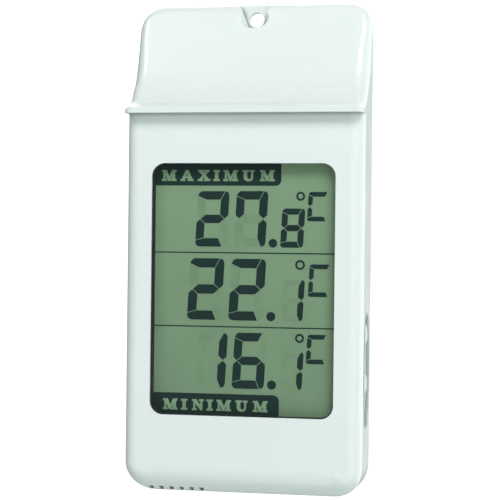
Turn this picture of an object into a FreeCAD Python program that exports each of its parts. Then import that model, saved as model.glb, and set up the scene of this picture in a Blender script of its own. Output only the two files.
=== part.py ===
import FreeCAD, Part
import math
import os
import re

import Sketcher

# Digital maximum minimum thermometer with a rain hood, to hang on a wall.
# Frame: X to the right seen from the front, -Y out of the wall towards the viewer, +Z up.
# The origin is where the hanging hole's axis meets the wall plane (the flat back, y = 0).
# Heights in the outlines below are counted from the casing's bottom edge, and depths from
# the wall plane forwards; every piece is then placed hole_height below the origin.

SIZES = [
    ("width", 73.0, "casing, side to side"),
    ("height", 150.0, "casing, bottom to top"),
    ("hole_height", 145.5, "hanging hole above the bottom edge"),
    ("body_depth", 21.2, "wall plane to the front face"),
    ("split_depth", 3.3, "wall plane to the parting line"),
    ("wall", 1.8, "casing wall"),
    ("edge_round", 4.0, "rounding of the front face's side edges"),
    ("bottom_roll", 8.4, "rounding of the front face into the bottom"),
    ("low_corner", 9.0, "bottom corners seen from the front"),
    ("top_corner", 7.5, "top corners seen from the front"),
    ("lip_depth", 24.5, "wall plane to the hood's lip"),
    ("lip_low", 115.2, "underside of the hood's lip"),
    ("lip_high", 117.0, "top of the lip's front band"),
    ("lip_round", 2.2, "rounding of the lip's ends seen from above"),
    ("window_width", 56.4, "display window"),
    ("window_low", 23.9, "bottom of the display window"),
    ("window_high", 100.1, "top of the display window"),
    ("window_corner", 4.0, "corners of the display window"),
    ("window_land", 0.8, "thickness of the casing's edge round the window"),
    ("lens_depth", 20.4, "wall plane to the front of the clear lens"),
    ("lens_thick", 1.2, "clear lens"),
    ("lens_half", 30.0, "half of the clear lens's width"),
    ("lens_low", 22.0, "bottom of the clear lens"),
    ("lens_high", 102.0, "top of the clear lens"),
    ("lens_corner", 4.2, "corners of the clear lens"),
    ("lens_gap", 0.15, "gap round the clear lens"),
    ("gasket_half", 27.8, "half of the width that the lens gasket leaves open"),
    ("gasket_low", 24.1, "bottom of the gasket's opening"),
    ("glass_depth", 17.6, "wall plane to the front glass, under its film"),
    ("glass_thick", 1.1, "each pane of the display"),
    ("film_thick", 0.2, "front polariser, and half of the reflector"),
    ("glass_width", 60.0, "display panes, side to side"),
    ("glass_low", 20.0, "bottom of the front pane"),
    ("glass_high", 104.0, "top of the front pane"),
    ("ledge", 2.2, "contact ledge at each end of the front pane"),
    ("board_depth", 14.2, "wall plane to the front of the circuit board"),
    ("board_thick", 1.0, "circuit board"),
    ("board_half", 33.0, "half of the circuit board's width"),
    ("board_low", 18.3, "bottom of the circuit board"),
    ("board_high", 109.0, "top of the circuit board"),
    ("frame_half", 33.4, "half of the display frame's width"),
    ("hole_radius", 2.3, "hanging hole"),
    ("hang_floor", 3.0, "wall plane to the floor of the hanging recess"),
    ("hang_mouth", 8.2, "wall plane to the hanging recess's mouth"),
    ("hang_top", 6.0, "how far the hanging recess runs up past the hole"),
    ("plate_thick", 1.6, "rear shell's plate"),
    ("button_depth", 10.6, "wall plane to the buttons' axes"),
    ("upper_height", 49.1, "upper button's axis above the bottom"),
    ("lower_height", 34.0, "lower button's axis above the bottom"),
    ("button_radius", 2.9, "button cap"),
    ("button_gap", 0.15, "radial gap round a button cap"),
    ("button_sink", 0.05, "how far a button's face lies inside the flank"),
    ("button_length", 3.5, "button cap without its skirt"),
    ("skirt_thick", 0.9, "skirt that keeps a button in"),
    ("skirt_rim", 0.45, "how far the skirt stands out round the cap"),
    ("button_travel", 0.5, "how far a button goes in"),
    ("oval_low", 20.6, "bottom of the oval in the flank"),
    ("oval_high", 55.4, "top of the oval in the flank"),
    ("oval_half", 5.6, "half of the oval's width"),
    ("oval_sink", 0.6, "how far the bezel's floor lies inside the flank"),
    ("rim_proud", 0.15, "how far the bezel's rim stands out of the flank"),
    ("rim_thick", 0.5, "bezel's rim"),
    ("flange_thick", 0.95, "bezel's flange behind the casing wall"),
    ("vent_pitch", 3.15, "from one vent slot to the next"),
    ("vent_width", 1.3, "vent slot"),
    ("vent_first", 28.3, "first vent slot, left of the middle"),
    ("vent_rear", 12.6, "wall plane to the rear end of a vent slot"),
    ("vent_front", 17.9, "wall plane to the front end of a vent slot"),
    ("door_half", 26.0, "half of the battery door's width"),
    ("door_high", 19.5, "top of the battery door"),
    ("door_gap", 0.25, "gap round the battery door"),
    ("rail_rear", 1.0, "wall plane to the door's rails, tab and foot"),
    ("rail_front", 1.8, "wall plane to the front of the door's leaf and rails"),
    ("foot_front", 3.05, "wall plane to the front of the door's foot"),
    ("cell_radius", 5.25, "AAA cell"),
    ("cell_length", 43.3, "AAA cell without its button end"),
    ("cell_height", 10.6, "cell's axis above the bottom"),
    ("cell_depth", 7.45, "wall plane to the cell's axis"),
    ("well_half", 25.0, "half of the battery well's length"),
    ("well_wall", 1.1, "walls of the battery well"),
    ("blade_thick", 0.5, "battery contact"),
    ("screw_reach", 30.6, "case screws' distance from the middle"),
    ("low_screw", 12.6, "lower case screws above the bottom"),
    ("high_screw", 133.0, "upper case screws above the bottom"),
    ("boss_radius", 2.8, "case screw bosses in the front shell"),
    ("pilot_radius", 1.12, "case screws' bores in their bosses"),
    ("collar_radius", 3.4, "case screw collars in the rear shell"),
    ("head_radius", 2.3, "case screw head"),
    ("head_thick", 1.5, "case screw head"),
    ("head_sunk", 0.38, "wall plane to the case screw heads"),
    ("shank_radius", 1.1, "case screw shank"),
    ("shank_length", 6.5, "case screw shank"),
    ("board_screw_reach", 31.9, "board screws' distance from the middle"),
    ("board_head_radius", 1.5, "board screw head"),
    ("board_shank_radius", 0.7, "board screw shank"),
    ("wire_size", 1.0, "insulated battery lead"),
    ("leg_size", 0.5, "temperature sensor's leg"),
]
VENTS = 6
CUT_CLEAR = 5

doc = FreeCAD.newDocument("thermometer")
sheet = doc.addObject("Spreadsheet::Sheet", "Size")
for row, (alias, size, note) in enumerate(SIZES, start=1):
    sheet.set(f"A{row}", alias)
    sheet.set(f"B{row}", str(size))
    sheet.set(f"C{row}", note)
    sheet.setAlias(f"B{row}", alias)
doc.recompute()

NODES = {}


# ---------------------------------------------------------------- helpers

def bound(text):
    """Sheet names in an expression, written the way FreeCAD reads them."""
    return re.sub(r"[a-z][a-z_]+", lambda found: "Size." + found.group(), str(text))


def number(text):
    """What an expression of sheet names comes to."""
    return float(sheet.evalExpression(bound(text)))


def node(name, item):
    """Names an object as one of the thermometer's pieces."""
    item.Label = name
    NODES[name] = item
    return item


def tube_node(name, shape):
    """Names a swept tube, or several, as one of the pieces."""
    item = doc.addObject("Part::Feature", name)
    item.Shape = shape
    item.Placement = FreeCAD.Placement()
    return node(name, item)


def place(item, x, depth, height):
    """Puts an object x to the right, depth in front of the wall, height above the bottom."""
    item.setExpression("Placement.Base.x", bound(x))
    item.setExpression("Placement.Base.y", bound(f"-({depth})"))
    item.setExpression("Placement.Base.z", bound(f"({height}) - hole_height"))
    return item


def box(name, across, depths, heights):
    """A box between two x values, two depths and two heights."""
    item = doc.addObject("Part::Box", name)
    item.setExpression("Length", bound(f"({across[1]}) - ({across[0]})"))
    item.setExpression("Width", bound(f"({depths[1]}) - ({depths[0]})"))
    item.setExpression("Height", bound(f"({heights[1]}) - ({heights[0]})"))
    return place(item, across[0], depths[1], heights[0])


def rod(name, radius, length, along, x, depth, height):
    """A cylinder that starts at a point and runs forwards, up or to the right."""
    turns = {
        "front": FreeCAD.Rotation(FreeCAD.Vector(1, 0, 0), 90),
        "up": FreeCAD.Rotation(),
        "right": FreeCAD.Rotation(FreeCAD.Vector(0, 1, 0), 90),
    }
    item = doc.addObject("Part::Cylinder", name)
    item.setExpression("Radius", bound(radius))
    item.setExpression("Height", bound(length))
    item.Placement = FreeCAD.Placement(FreeCAD.Vector(), turns[along])
    return place(item, x, depth, height)


def join(name, parts):
    item = doc.addObject("Part::MultiFuse", name)
    item.Shapes = parts
    item.Refine = True
    return item


def group(name, parts):
    """Separate solids that share one node."""
    item = doc.addObject("Part::Compound", name)
    item.Links = parts
    return item


def cut(name, base, tools):
    tool = tools[0]
    if len(tools) > 1:
        tool = doc.addObject("Part::MultiFuse", name + "_tools")
        tool.Shapes = tools
    item = doc.addObject("Part::Cut", name)
    item.Base = base
    item.Tool = tool
    item.Refine = True
    return item


def common(name, first, second):
    item = doc.addObject("Part::MultiCommon", name)
    item.Shapes = [first, second]
    return item


def closed_sketch(body, role, corners):
    """A fully held outline: straight edges between corners given as (across, up, radius)."""
    sketch = body.newObject("Sketcher::SketchObject", body.Name + "_outline")
    plane = [item for item in body.Origin.OriginFeatures if item.Role == role][0]
    sketch.AttachmentSupport = [(plane, "")]
    sketch.MapMode = "FlatFace"
    points = [FreeCAD.Vector(number(corner[0]), number(corner[1]), 0) for corner in corners]
    count = len(points)
    arrive, middle, leave = list(points), list(points), list(points)
    for i, corner in enumerate(corners):
        if len(corner) < 3:
            continue
        back = (points[i - 1] - points[i]).normalize()
        ahead = (points[(i + 1) % count] - points[i]).normalize()
        half_turn = back.getAngle(ahead) / 2
        radius = number(corner[2])
        arrive[i] = points[i] + back * (radius / math.tan(half_turn))
        leave[i] = points[i] + ahead * (radius / math.tan(half_turn))
        inwards = (back + ahead).normalize()
        middle[i] = points[i] + inwards * (radius / math.sin(half_turn) - radius)
    for i in range(count):
        sketch.addGeometry(Part.LineSegment(leave[i], arrive[(i + 1) % count]))
    for i, corner in enumerate(corners):
        before = (i - 1) % count
        held = (i, 1)
        if len(corner) < 3:
            sketch.addConstraint(Sketcher.Constraint("Coincident", before, 2, i, 1))
        else:
            arc = sketch.addGeometry(Part.Arc(arrive[i], middle[i], leave[i]))
            starts = (sketch.getPoint(arc, 1) - arrive[i]).Length < 1e-6
            first, last = (1, 2) if starts else (2, 1)
            sketch.addConstraint(Sketcher.Constraint("Tangent", before, 2, arc, first))
            sketch.addConstraint(Sketcher.Constraint("Tangent", arc, last, i, 1))
            named = Sketcher.Constraint("Radius", arc, number(corner[2]))
            named.Name = f"round_{i}"
            sketch.addConstraint(named)
            sketch.setExpression(f"Constraints.round_{i}", bound(corner[2]))
            tip = sketch.addGeometry(Part.Point(points[i]), True)
            sketch.addConstraint(Sketcher.Constraint("PointOnObject", tip, 1, before))
            sketch.addConstraint(Sketcher.Constraint("PointOnObject", tip, 1, i))
            held = (tip, 1)
        for kind, axis, text, at in (("DistanceX", -2, corner[0], points[i].x),
                                     ("DistanceY", -1, corner[1], points[i].y)):
            if str(text) == "0":
                sketch.addConstraint(Sketcher.Constraint("PointOnObject", *held, axis))
                continue
            named = Sketcher.Constraint(kind, -1, 1, *held, at)
            named.Name = f"{kind.lower()}_{i}"
            sketch.addConstraint(named)
            sketch.setExpression(f"Constraints.{named.Name}", bound(text))
    return sketch


def plate(name, corners, depth, thick):
    """An outline seen from the front, from one depth forwards."""
    body = doc.addObject("PartDesign::Body", name)
    sketch = closed_sketch(body, "XZ_Plane", corners)
    pad = body.newObject("PartDesign::Pad", name + "_pad")
    pad.Profile = sketch
    pad.setExpression("Length", bound(thick))
    return place(body, 0, depth, 0)


def flared(name, floor, mouth, depth, mouth_depth):
    """A recess whose outline changes from its floor to its mouth, further forwards."""
    body = doc.addObject("PartDesign::Body", name)
    near = closed_sketch(body, "XZ_Plane", floor)
    far = closed_sketch(body, "XZ_Plane", mouth)
    far.setExpression("AttachmentOffset.Base.z", bound(f"{mouth_depth} - {depth}"))
    loft = body.newObject("PartDesign::AdditiveLoft", name + "_loft")
    loft.Profile = near
    loft.Sections = [far]
    loft.Ruled = True
    return place(body, 0, depth, 0)


def profile(name, corners, start, length):
    """An outline in depth and height, seen from the side, run to the right from start."""
    body = doc.addObject("PartDesign::Body", name)
    flipped = [(f"-({corner[0]})" if str(corner[0]) != "0" else 0,) + tuple(corner[1:])
               for corner in corners]
    sketch = closed_sketch(body, "YZ_Plane", flipped)
    pad = body.newObject("PartDesign::Pad", name + "_pad")
    pad.Profile = sketch
    pad.setExpression("Length", bound(length))
    return place(body, start, 0, 0)


def column(name, corners, low, tall):
    """An outline seen from above, given as (x, depth), from one height upwards."""
    body = doc.addObject("PartDesign::Body", name)
    flipped = [(corner[0], f"-({corner[1]})" if str(corner[1]) != "0" else 0) + tuple(corner[2:])
               for corner in corners]
    sketch = closed_sketch(body, "XY_Plane", flipped)
    pad = body.newObject("PartDesign::Pad", name + "_pad")
    pad.Profile = sketch
    pad.setExpression("Length", bound(tall))
    return place(body, 0, 0, low)


def rectangle(half, low, high, radius=None):
    """Corners of a rectangle about the middle line, with one radius or none."""
    tail = () if radius is None else (radius,)
    return [(f"-({half})", low) + tail, (half, low) + tail,
            (half, high) + tail, (f"-({half})", high) + tail]


def oval(spread):
    """Corners of the flank's oval, grown all round by spread, in depth and height."""
    slant = math.radians(15)
    side_round, end_round = 55 + spread, 3.7 + spread
    half = number("oval_half") + spread + side_round * (1 / math.cos(slant) - 1)
    tall = (number("oval_high - oval_low") / 2 + spread
            + end_round * (1 / math.sin(slant) - 1))
    middle = "(oval_low + oval_high) / 2"
    return [("button_depth", f"{middle} - {tall}", end_round),
            (f"button_depth + {half}", middle, side_round),
            ("button_depth", f"{middle} + {tall}", end_round),
            (f"button_depth - {half}", middle, side_round)]


def swept(edges, start, direction, size):
    """A round tube of a given thickness along a path that leaves its start in one direction."""
    path = Part.Wire(edges)
    ring = Part.Wire([Part.Circle(start, direction, size / 2).toShape()])
    tube = path.makePipeShell([ring], True, False)
    expected = math.pi * (size / 2) ** 2 * path.Length
    print(f"tube: length {path.Length:.1f}, volume {tube.Volume / expected:.3f} of its length's")
    return tube


def edges_where(shape, test):
    """Numbers of the edges whose middle point passes a test."""
    found = []
    for index, edge in enumerate(shape.Edges, start=1):
        middle = edge.valueAt((edge.FirstParameter + edge.LastParameter) / 2)
        if test(edge, middle):
            found.append(index)
    return found


def rounded(name, base, sizes):
    """Rounds edges; sizes holds (edge number, radius at its start, radius at its end)."""
    item = doc.addObject("Part::Fillet", name)
    item.Base = base
    item.Edges = sizes
    return item


# ---------------------------------------------------------------- casing

def front_edge_sizes(shape, inset):
    """Front edges of the casing's body: narrow rounding at the sides, a wide roll below."""
    side, roll = number(f"edge_round - {inset}"), number(f"bottom_roll - {inset}")
    corner_top = number("low_corner - hole_height")
    front = number(f"body_depth - {inset}")
    low = number(f"{inset} - hole_height")
    sizes = []
    for index in edges_where(shape, lambda edge, at: abs(at.y + front) < 1e-3):
        edge = shape.Edges[index - 1]
        middle = edge.valueAt((edge.FirstParameter + edge.LastParameter) / 2)
        if abs(middle.z - low) < 1e-3:
            sizes.append((index, roll, roll))
        elif middle.z > corner_top:
            if abs(middle.x) > 1:
                sizes.append((index, side, side))
        else:
            starts_low = edge.valueAt(edge.FirstParameter).z < edge.valueAt(edge.LastParameter).z
            sizes.append((index, roll, side) if starts_low else (index, side, roll))
    return sizes


def casing(name, inset, hood_corners, hood_sizes=None):
    """The casing as one closed solid, grown inwards by inset."""
    overlap, hood_foot, beyond = 0.6, 90, 70
    half = f"(width / 2 - {inset})"
    corner = f"(low_corner - {inset})"
    block_top = f"lip_low + {overlap}"
    block = plate(name + "_block", [
        (f"-{half}", inset, corner), (half, inset, corner), (half, block_top),
        (f"-{half}", block_top)], 0, f"body_depth - {inset}")
    doc.recompute()
    body = rounded(name + "_body", block, front_edge_sizes(block.Shape, inset))
    wedge = profile(name + "_wedge", hood_corners, "-width", "width * 2")
    top = f"(top_corner - {inset})"
    mask = plate(name + "_mask", [
        (f"-{half}", hood_foot), (half, hood_foot), (half, f"height - {inset}", top),
        (f"-{half}", f"height - {inset}", top)], 0, beyond)
    hood = common(name + "_hood", wedge, mask)
    if hood_sizes:
        doc.recompute()
        hood = rounded(name + "_hood_soft", hood, hood_sizes(hood.Shape))
    ends, front = f"(lip_round - {inset})", f"lip_depth - {inset}"
    plan = column(name + "_plan", [
        (f"-{half}", 0), (half, 0), (half, front, ends), (f"-{half}", front, ends)],
        hood_foot, beyond)
    return join(name, [body, common(name + "_hood_ends", hood, plan)])


def hood_edge_sizes(shape):
    """The hood's side and top edges: full rounding above, dying away towards the lip."""
    lip_size, top_size, fade_height = 2.0, 3.0, 9.0
    side_size = number("edge_round")
    half, top = number("width / 2"), number("height - hole_height")
    lip = number("lip_high - hole_height")
    top_depth, fold_band, near = 5.2, 25, 0.2
    sizes = []

    def size_at(height):
        share = min(1.0, max(0.0, (height - lip) / fade_height))
        return lip_size + (side_size - lip_size) * share

    def on_front(edge, middle):
        across_fold = abs(middle.x) < 1 and middle.z < lip + fold_band
        return middle.y < -top_depth and middle.z > lip - near and not across_fold

    for index in edges_where(shape, on_front):
        edge = shape.Edges[index - 1]
        ends = [edge.valueAt(edge.FirstParameter).z, edge.valueAt(edge.LastParameter).z]
        middle = edge.valueAt((edge.FirstParameter + edge.LastParameter) / 2)
        if middle.z > top - near / 2:
            sizes.append((index, top_size, top_size))
        elif abs(abs(middle.x) - half) < 1e-3:
            sizes.append((index, size_at(ends[0]), size_at(ends[1])))
        elif ends[1] > ends[0]:
            sizes.append((index, side_size, top_size))
        else:
            sizes.append((index, top_size, side_size))
    return sizes


def scoop_floor():
    """The hanging recess's flat floor: round below the hole, with sides that open upwards."""
    radius, slant = 3.2, math.radians(27)
    half_low = radius / math.cos(slant) - radius * math.tan(slant)
    half_high = radius / math.cos(slant) + number("hang_top") * math.tan(slant)
    low, high = f"hole_height - {radius}", "hole_height + hang_top"
    corner = radius * 0.985
    return [(-half_low, low, corner), (half_low, low, corner), (half_high, high),
            (-half_high, high)]


def scoop_mouth():
    """The recess's wider mouth, out where the hood's surface is."""
    half_low, half_high, below, corner = 10.9, 3.7, 3.1, 5.0
    low, high = f"hole_height - {below}", "hole_height + hang_top"
    return [(-half_low, low, corner), (half_low, low, corner), (half_high, high),
            (-half_high, high)]


def hang_pad_corners(grow):
    """The thick place in the casing that the hanging recess is sunk into."""
    half, below, corner = 7.9 + grow, 4.4 + grow, 5.5 + grow
    low, high = f"hole_height - {below}", "hole_height + hang_top"
    return [(-half, low, corner), (half, low, corner), (half, high), (-half, high)]


def screw_places():
    """Case screws: name, side, height and how far their bosses reach forwards."""
    return [
        ("low_left", "-screw_reach", "low_screw"), ("low_right", "screw_reach", "low_screw"),
        ("high_left", "-screw_reach", "high_screw"), ("high_right", "screw_reach", "high_screw"),
    ]


def make_front_shell():
    # Side outlines of the hood: up its back, over the sloping visor and down to the lip.
    outer_hood = [
        (0, 100), ("body_depth - 6", 100), ("body_depth - 6", "lip_low"), ("lip_depth", "lip_low"),
        ("lip_depth", "lip_high"), (20.6, 118.35, 2.2), (17.3, 121.2, 14), (13.0, 128.2, 24),
        (4.95, "height"), (0, "height")]
    inner_hood = [
        (0, 100), ("body_depth - wall", 100), ("body_depth - wall", 115.8), (16.2, 119.4),
        (11.3, 127.3), (3.6, "height - wall"), (0, "height - wall")]
    outer = casing("casing_outer", "0", outer_hood, hood_edge_sizes)
    inner = casing("casing_inner", "wall", inner_hood)
    back = box("casing_back", ("-width", "width"), (-CUT_CLEAR, "split_depth"),
               (-CUT_CLEAR, f"height + {CUT_CLEAR}"))
    hollow = cut("casing_hollow", outer, [inner, back])
    boss_length, pad_thick, seat_gap = 17, 8, 0.05
    bosses = [rod(f"boss_{spot}", "boss_radius", boss_length, "front", x,
                  f"split_depth + {seat_gap}", up) for spot, x, up in screw_places()]
    pad = plate("hang_pad", hang_pad_corners(0), f"plate_thick + {seat_gap}", pad_thick)
    inside = common("casing_inside", join("casing_lumps", bosses + [pad]), outer)
    solid = join("casing_solid", [hollow, inside])
    hole_start, hole_length = "width / 2 - 3", 5
    oval_hole = profile("oval_hole", oval(0), hole_start, hole_length)
    window = plate("window_hole", rectangle("window_width / 2", "window_low", "window_high",
                                            "window_corner"), "lens_depth - 1", CUT_CLEAR)
    rebate = plate("lens_rebate", rectangle("lens_half + lens_gap", "lens_low - lens_gap",
                                            "lens_high + lens_gap", "lens_corner + lens_gap"),
                   "body_depth - wall - 1", "lens_depth - body_depth + wall + 1")
    scoop = flared("hang_scoop", scoop_floor(), scoop_mouth(), "hang_floor", "hang_mouth")
    hole = rod("hang_bore", "hole_radius", "hang_mouth + hang_floor", "front", 0, 0,
               "hole_height")
    vents = [box(f"vent_{i + 1}",
                 (f"{i} * vent_pitch - vent_first - vent_width / 2",
                  f"{i} * vent_pitch - vent_first + vent_width / 2"),
                 ("vent_rear", "vent_front"), (-CUT_CLEAR, CUT_CLEAR)) for i in range(VENTS)]
    pilot_length = 5.4
    pilots = [rod(f"pilot_{spot}", "pilot_radius", pilot_length, "front", x, "split_depth", up)
              for spot, x, up in screw_places()]
    node("front_shell", cut("front_shell", solid, [oval_hole, window, rebate, scoop, hole]
                            + vents + pilots))


# ---------------------------------------------------------------- back and battery

def make_rear_shell():
    edge_gap, rim_round = 0.25, 0.8
    half = f"(width / 2 - {edge_gap})"
    top = f"height - {edge_gap}"
    corners = [(f"-{half}", edge_gap, "low_corner"), (half, edge_gap, "low_corner"),
               (half, top, "top_corner"), (f"-{half}", top, "top_corner")]
    slab = plate("rear_slab", corners, 0, "split_depth - 0.05")
    doc.recompute()
    rim = edges_where(slab.Shape, lambda edge, at: abs(at.y) < 1e-3)
    soft = rounded("rear_soft", slab, [(index, rim_round, rim_round) for index in rim])
    inside = "(width / 2 - wall)"
    pocket = plate("rear_pocket", [
        (f"-{inside}", "wall", "low_corner - wall"), (inside, "wall", "low_corner - wall"),
        (inside, "height - wall", "top_corner - wall"),
        (f"-{inside}", "height - wall", "top_corner - wall")], "plate_thick", CUT_CLEAR)
    tray = cut("rear_tray", soft, [pocket])

    ledge_half, ledge_rear, ledge_low, ledge_high = 28.4, 0.5, 2.6, 22
    ledge = box("door_ledge", (-ledge_half, ledge_half), (ledge_rear, "foot_front"),
                (ledge_low, ledge_high))
    # The well's outside and room are seen from its end; the front upper corner is cut off.
    well = profile("well_walls", [(ledge_rear, 3.9), (13.75, 3.9), (13.75, 13.65),
                                  (10.15, 17.25), (ledge_rear, 17.25)],
                   "-well_half - well_wall", "(well_half + well_wall) * 2")
    room = profile("well_room", [(-1, 4.95), (12.85, 4.95), (12.85, 13.05), (9.65, 16.25),
                                 (-1, 16.25)], "-well_half", "well_half * 2")
    collars = [rod(f"collar_{spot}", "collar_radius", "split_depth - 0.35", "front", x, 0.3, up)
               for spot, x, up in screw_places()]
    post_radius, post_reach, post_levels = 2, 22, (50, 92)
    posts = [rod(f"post_{up}_{side}", post_radius, "board_depth - board_thick - 1.05", "front",
                 side * post_reach, 1, up) for side in (-1, 1) for up in post_levels]
    tongue_inner, tongue_outer, tongue_high = 33.35, 34.45, 120
    left_low, right_low = 17, 62
    tongues = [box("tongue_left", (-tongue_outer, -tongue_inner), (1, 5),
                   (left_low, tongue_high)),
               box("tongue_right", (tongue_inner, tongue_outer), (1, 5),
                   (right_low, tongue_high))]
    solid = join("rear_solid", [tray, ledge, well] + collars + posts + tongues)

    door_front, groove_half, groove_rear, groove_above = 2.05, 27.25, 0.75, 1.35
    opening = box("door_opening", ("-door_half", "door_half"), (-1, door_front),
                  (-1, "door_high"))
    groove = box("door_groove", (-groove_half, groove_half), (groove_rear, door_front),
                 (-1, f"door_high + {groove_above}"))
    foot = box("door_foot_gap", ("-door_half", "door_half"), (-1, 4), (-1, 2.1))
    slot_depths, slot_heights = (5.9, 9.1), (16, 18)
    slots = [box("slot_left", ("-well_half + 0.05", "-well_half + blade_thick + 0.15"),
                 slot_depths, slot_heights),
             box("slot_right", ("well_half - blade_thick - 0.15", "well_half - 0.05"),
                 slot_depths, slot_heights)]
    pad_gap, head_gap, clear_radius, head_room = 0.2, 0.3, 1.4, 2.9
    pad_room = plate("pad_room", hang_pad_corners(pad_gap), "plate_thick", CUT_CLEAR)
    hole = rod("rear_hang_bore", "hole_radius", 6, "front", 0, -1, "hole_height")
    heads = [rod(f"sink_{spot}", f"head_radius + {head_gap}", head_room, "front", x, -1, up)
             for spot, x, up in screw_places()]
    shanks = [rod(f"clear_{spot}", clear_radius, 6, "front", x, -1, up)
              for spot, x, up in screw_places()]
    node("rear_shell", cut("rear_shell", solid, [opening, groove, foot, room, pad_room, hole]
                           + slots + heads + shanks))


def make_battery_door():
    half = "(door_half - door_gap)"
    top = "(door_high - door_gap)"
    leaf = box("door_leaf", (f"-{half}", half), (0, "rail_front"), ("door_gap", top))
    doc.recompute()
    low = number("door_gap - hole_height")
    edge = edges_where(leaf.Shape, lambda edge, at: abs(at.y) < 1e-3 and abs(at.z - low) < 1e-3)
    foot_round = 0.8
    soft = rounded("door_soft", leaf, [(index, foot_round, foot_round) for index in edge])
    rail_half, rail_low, tab_half, tab_above, foot_high = 27, 2.4, 8, 1.1, 1.85
    rails = box("door_rails", (-rail_half, rail_half), ("rail_rear", "rail_front"),
                (rail_low, top))
    tab = box("door_tab", (-tab_half, tab_half), ("rail_rear", "rail_front"),
              ("door_high - 1", f"door_high + {tab_above}"))
    foot = box("door_foot", (f"-{half}", half), ("rail_rear", "foot_front"),
               ("door_gap", foot_high))
    grip_count, grip_half, grip_deep, grip_low, grip_pitch, grip_tall = 5, 7, 0.45, 5, 1.7, 0.8
    grips = [box(f"grip_{i}", (-grip_half, grip_half), (-1, grip_deep),
                 (grip_low + grip_pitch * i, grip_low + grip_pitch * i + grip_tall))
             for i in range(grip_count)]
    node("battery_door", cut("battery_door", join("door_solid", [soft, rails, tab, foot]), grips))


def make_battery():
    end = "(well_half - 1.6)"
    terminal_radius, terminal_length, rim_round = 1.9, 1.05, 0.5
    can = rod("cell_can", "cell_radius", "cell_length", "right", f"{end} - cell_length",
              "cell_depth", "cell_height")
    terminal = rod("cell_terminal", terminal_radius, terminal_length, "right", f"{end} - 0.1",
                   "cell_depth", "cell_height")
    doc.recompute()
    rims = edges_where(can.Shape, lambda edge, at: edge.Curve.TypeId == "Part::GeomCircle")
    soft = rounded("cell_soft", can, [(index, rim_round, rim_round) for index in rims])
    node("battery", join("battery", [soft, terminal]))


def make_contacts():
    gap = 0.1
    left = (f"-well_half + {gap}", f"-well_half + {gap} + blade_thick")
    right = (f"well_half - {gap} - blade_thick", f"well_half - {gap}")
    blade_depths, blade_heights = (3, 11.6), (6.2, 13.9)
    tab_depths, tab_heights = (6, 9), (13.7, 18.6)
    for name, across in (("negative_contact", left), ("positive_contact", right)):
        blade = box(name + "_blade", across, blade_depths, blade_heights)
        tab = box(name + "_tab", across, tab_depths, tab_heights)
        node(name, join(name, [blade, tab]))


def make_spring():
    """The tapering spring behind the cell's flat end: half turns that lean one way and the other."""
    half_turns, wire, wide, narrow = 7, 0.64, 3.0, 2.6
    start_x, end_x = number("-well_half + 1"), number("well_half - 1.95 - cell_length")
    ends = []
    for i in range(half_turns + 1):
        share = i / half_turns
        side = 1 if i % 2 == 0 else -1
        reach = (wide + (narrow - wide) * share) * side
        ends.append(FreeCAD.Vector(start_x + (end_x - start_x) * share,
                                   -number("cell_depth") - reach,
                                   number("cell_height - hole_height")))
    edges = []
    for i, (first, last) in enumerate(zip(ends, ends[1:])):
        side = 1 if i % 2 == 0 else -1
        rise = (last - first).Length / 2 * side
        middle = (first + last) / 2 + FreeCAD.Vector(0, 0, rise)
        edges.append(Part.Arc(first, middle, last).toShape())
    tube_node("battery_spring", swept(edges, ends[0], FreeCAD.Vector(0, 0, 1), wire))


# ---------------------------------------------------------------- display

def make_display():
    across = "glass_width / 2"
    node("display_lens", plate("display_lens", rectangle("lens_half", "lens_low", "lens_high",
                                                         "lens_corner"),
                               "lens_depth - lens_thick", "lens_thick - 0.02"))
    ring = plate("gasket_ring", rectangle("lens_half + 0.1", "lens_low - 0.2",
                                          "lens_high + 0.2", "lens_corner"),
                 "glass_depth + film_thick + 0.03", "lens_depth - lens_thick - glass_depth"
                 " - film_thick - 0.08")
    gap = plate("gasket_gap", rectangle("gasket_half", "gasket_low", "window_high + 0.05",
                                        "window_corner"), "glass_depth - 1", CUT_CLEAR)
    node("display_gasket", cut("display_gasket", ring, [gap]))
    film = rectangle(f"{across} - 0.4", "glass_low + ledge + 0.2", "glass_high - ledge - 0.2")
    node("lcd_front_polariser", plate("lcd_front_polariser", film, "glass_depth", "film_thick"))
    node("lcd_front_glass", plate("lcd_front_glass", rectangle(across, "glass_low", "glass_high"),
                                  "glass_depth - glass_thick", "glass_thick"))
    back = rectangle(across, "glass_low + ledge", "glass_high - ledge")
    node("lcd_rear_glass", plate("lcd_rear_glass", back, "glass_depth - 2 * glass_thick",
                                 "glass_thick"))
    node("lcd_reflector", plate("lcd_reflector", film,
                                "glass_depth - 2 * glass_thick - 2 * film_thick",
                                "2 * film_thick"))
    strip_half = 28
    strips = (("upper_zebra_strip", "glass_high - ledge + 0.2", "glass_high - 0.1"),
              ("lower_zebra_strip", "glass_low + 0.1", "glass_low + ledge - 0.2"))
    for name, low, high in strips:
        node(name, box(name, (-strip_half, strip_half),
                       ("board_depth", "glass_depth - glass_thick"), (low, high)))


def board_screw_places():
    return [(x, up) for x in ("-board_screw_reach", "board_screw_reach") for up in (24, 62, 96)]


def crossed_screw(name, head, shank, x, up, depths, reach, slot_half):
    """A screw with a cross cut into its head, between two depths."""
    slots = [box(f"{name}_slot_a", (f"{x} - {reach}", f"{x} + {reach}"), depths,
                 (f"{up} - {slot_half}", f"{up} + {slot_half}")),
             box(f"{name}_slot_b", (f"{x} - {slot_half}", f"{x} + {slot_half}"), depths,
                 (f"{up} - {reach}", f"{up} + {reach}"))]
    return cut(name, join(f"{name}_blank", [head, shank]), slots)


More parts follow.
